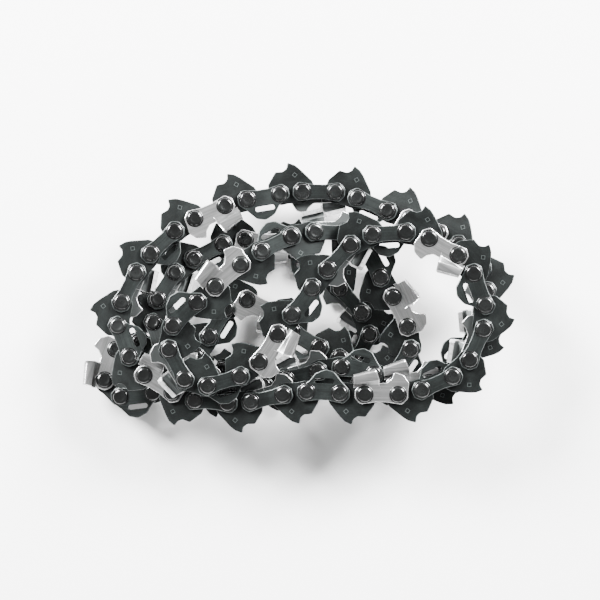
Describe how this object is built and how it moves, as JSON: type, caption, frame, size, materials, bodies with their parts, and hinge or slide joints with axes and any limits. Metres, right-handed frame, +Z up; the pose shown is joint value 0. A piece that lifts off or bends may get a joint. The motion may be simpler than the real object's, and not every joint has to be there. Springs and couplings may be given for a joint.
{
  "type": "saw chain loop",
  "caption": "Closed loop of saw chain for a chainsaw, dropped in a heap on its side: drive links with tangs, cutters, tie straps, slotted bumper straps and rivets.",
  "frame": {"origin": "centre of the bounding box, on the table the heap lies on", "axes": "+X along the long side of the heap, +Y along its short side towards the open top arc, +Z up along the rivets"},
  "size_m": [0.126, 0.0786, 0.0319],
  "materials": {
    "plated_cutter": "satin plated steel",
    "blued_strap": "blued steel, satin, with worn edges",
    "blued_drive": "blued steel, satin, darker",
    "rivet_steel": "dark polished rivet head",
    "blued_chain": "blued steel, satin, oiled"
  },
  "bodies": {
    "heap": {"diagonal_run": "blued_chain", "resting_run_01": "blued_chain", "resting_run_02": "blued_chain", "resting_run_03": "blued_chain", "resting_run_04": "blued_chain", "resting_run_05": "blued_chain", "resting_run_06": "blued_chain", "resting_run_07": "blued_chain", "resting_run_08": "blued_chain", "resting_run_09": "blued_chain", "resting_run_10": "blued_chain", "resting_run_11": "blued_chain", "resting_run_12": "blued_chain", "resting_run_13": "blued_chain", "resting_run_14": "blued_chain", "resting_run_15": "blued_chain", "resting_run_16": "blued_chain", "resting_run_17": "blued_chain", "resting_run_18": "blued_chain", "resting_run_19": "blued_chain", "resting_run_20": "blued_chain", "resting_run_21": "blued_chain", "resting_run_22": "blued_chain"},
    "left_arm_1_outer_link": {"link_1_near_cutter": "plated_cutter", "link_1_far_tie_strap": "blued_strap", "link_1_rear_rivet": "rivet_steel", "link_1_front_rivet": "rivet_steel"},
    "left_arm_1_drive_link": {"drive_link_1": "blued_drive"},
    "left_arm_1_inner_link": {"link_2_near_bumper_strap": "blued_strap", "link_2_far_tie_strap": "blued_strap", "link_2_rear_rivet": "rivet_steel", "link_2_front_rivet": "rivet_steel"},
    "left_turn": {"drive_link_2": "blued_drive", "link_3_near_tie_strap": "blued_strap", "link_3_far_cutter": "plated_cutter", "link_3_rear_rivet": "rivet_steel", "link_3_front_rivet": "rivet_steel", "drive_link_3": "blued_drive", "link_4_near_tie_strap": "blued_strap", "link_4_far_bumper_strap": "blued_strap", "link_4_rear_rivet": "rivet_steel", "link_4_front_rivet": "rivet_steel", "drive_link_4": "blued_drive"},
    "left_arm_2_inner_link": {"link_5_near_cutter": "plated_cutter", "link_5_far_tie_strap": "blued_strap", "link_5_rear_rivet": "rivet_steel", "link_5_front_rivet": "rivet_steel"},
    "left_arm_2_drive_link": {"drive_link_5": "blued_drive"},
    "left_arm_2_outer_link": {"link_6_near_bumper_strap": "blued_strap", "link_6_far_tie_strap": "blued_strap", "link_6_rear_rivet": "rivet_steel", "link_6_front_rivet": "rivet_steel"},
    "right_arm_1_outer_link": {"right_arm_1_outer_link": "blued_chain"},
    "right_arm_1_drive_link": {"right_arm_1_drive_link": "blued_chain"},
    "right_turn": {"right_turn_run_1": "blued_chain", "right_turn_run_2": "blued_chain", "right_turn_run_3": "blued_chain"},
    "right_arm_2_drive_link": {"right_arm_2_drive_link": "blued_chain"},
    "right_arm_2_outer_link": {"right_arm_2_outer_link": "blued_chain"}
  },
  "joints": [
    {"name": "left_lobe_sway", "type": "hinge", "parent": "heap", "child": "left_arm_1_outer_link", "pos_m": [-0.01624, 0.00923, 0.02828], "axis": [0, 0, 1], "range_deg": [-8, 6]},
    {"name": "left_hinge_2", "type": "hinge", "parent": "left_arm_1_outer_link", "child": "left_arm_1_drive_link", "pos_m": [-0.02352, 0.00302, 0.02836], "axis": [0, 0, 1], "range_deg": [-1.68, 1.31]},
    {"name": "left_hinge_3", "type": "hinge", "parent": "left_arm_1_drive_link", "child": "left_arm_1_inner_link", "pos_m": [-0.02868, -0.00162, 0.02836], "axis": [0, 0, 1], "range_deg": [-3.52, 4.62]},
    {"name": "left_hinge_4", "type": "hinge", "parent": "left_arm_1_inner_link", "child": "left_turn", "pos_m": [-0.03562, -0.00821, 0.02836], "axis": [0, 0, 1], "range_deg": [-2.84, 3.73]},
    {"name": "left_hinge_5", "type": "hinge", "parent": "left_turn", "child": "left_arm_2_inner_link", "pos_m": [-0.01093, -0.01861, 0.02836], "axis": [0, 0, 1], "range_deg": [-1.81, 1.41]},
    {"name": "left_hinge_6", "type": "hinge", "parent": "left_arm_2_inner_link", "child": "left_arm_2_drive_link", "pos_m": [-0.00562, -0.01065, 0.02836], "axis": [0, 0, 1], "range_deg": [-7.37, 5.58]},
    {"name": "left_hinge_7", "type": "hinge", "parent": "left_arm_2_drive_link", "child": "left_arm_2_outer_link", "pos_m": [-0.00153, -0.00505, 0.02836], "axis": [0, 0, 1], "range_deg": [-2.01, 2.61]},
    {"name": "right_lobe_sway", "type": "hinge", "parent": "heap", "child": "right_arm_1_outer_link", "pos_m": [0.02151, 0.01787, 0.02836], "axis": [0, 0, 1], "range_deg": [-6, 9]},
    {"name": "right_hinge_2", "type": "hinge", "parent": "right_arm_1_outer_link", "child": "right_arm_1_drive_link", "pos_m": [0.03106, 0.0185, 0.02836], "axis": [0, 0, 1], "range_deg": [-2.46, 3.59]},
    {"name": "right_hinge_3", "type": "hinge", "parent": "right_arm_1_drive_link", "child": "right_turn", "pos_m": [0.03778, 0.01678, 0.02836], "axis": [0, 0, 1], "range_deg": [-13.31, 8.94]},
    {"name": "right_hinge_4", "type": "hinge", "parent": "right_turn", "child": "right_arm_2_drive_link", "pos_m": [0.03569, -0.02666, 0.02836], "axis": [0, 0, 1], "range_deg": [-8.97, 13.35]},
    {"name": "right_hinge_5", "type": "hinge", "parent": "right_arm_2_drive_link", "child": "right_arm_2_outer_link", "pos_m": [0.02888, -0.02801, 0.02836], "axis": [0, 0, 1], "range_deg": [-3.62, 2.48]}
  ],
  "couplings": [
    {"joint": "left_hinge_2", "follows": "left_lobe_sway", "ratio": 0.185},
    {"joint": "left_hinge_3", "follows": "left_lobe_sway", "ratio": -0.5528},
    {"joint": "left_hinge_4", "follows": "left_lobe_sway", "ratio": -0.4408},
    {"joint": "left_hinge_5", "follows": "left_lobe_sway", "ratio": 0.2009},
    {"joint": "left_hinge_6", "follows": "left_lobe_sway", "ratio": 0.8964},
    {"joint": "left_hinge_7", "follows": "left_lobe_sway", "ratio": -0.3017},
    {"joint": "right_hinge_2", "follows": "right_lobe_sway", "ratio": 0.3762},
    {"joint": "right_hinge_3", "follows": "right_lobe_sway", "ratio": -1.4571},
    {"joint": "right_hinge_4", "follows": "right_lobe_sway", "ratio": 1.4616},
    {"joint": "right_hinge_5", "follows": "right_lobe_sway", "ratio": -0.3804}
  ]
}
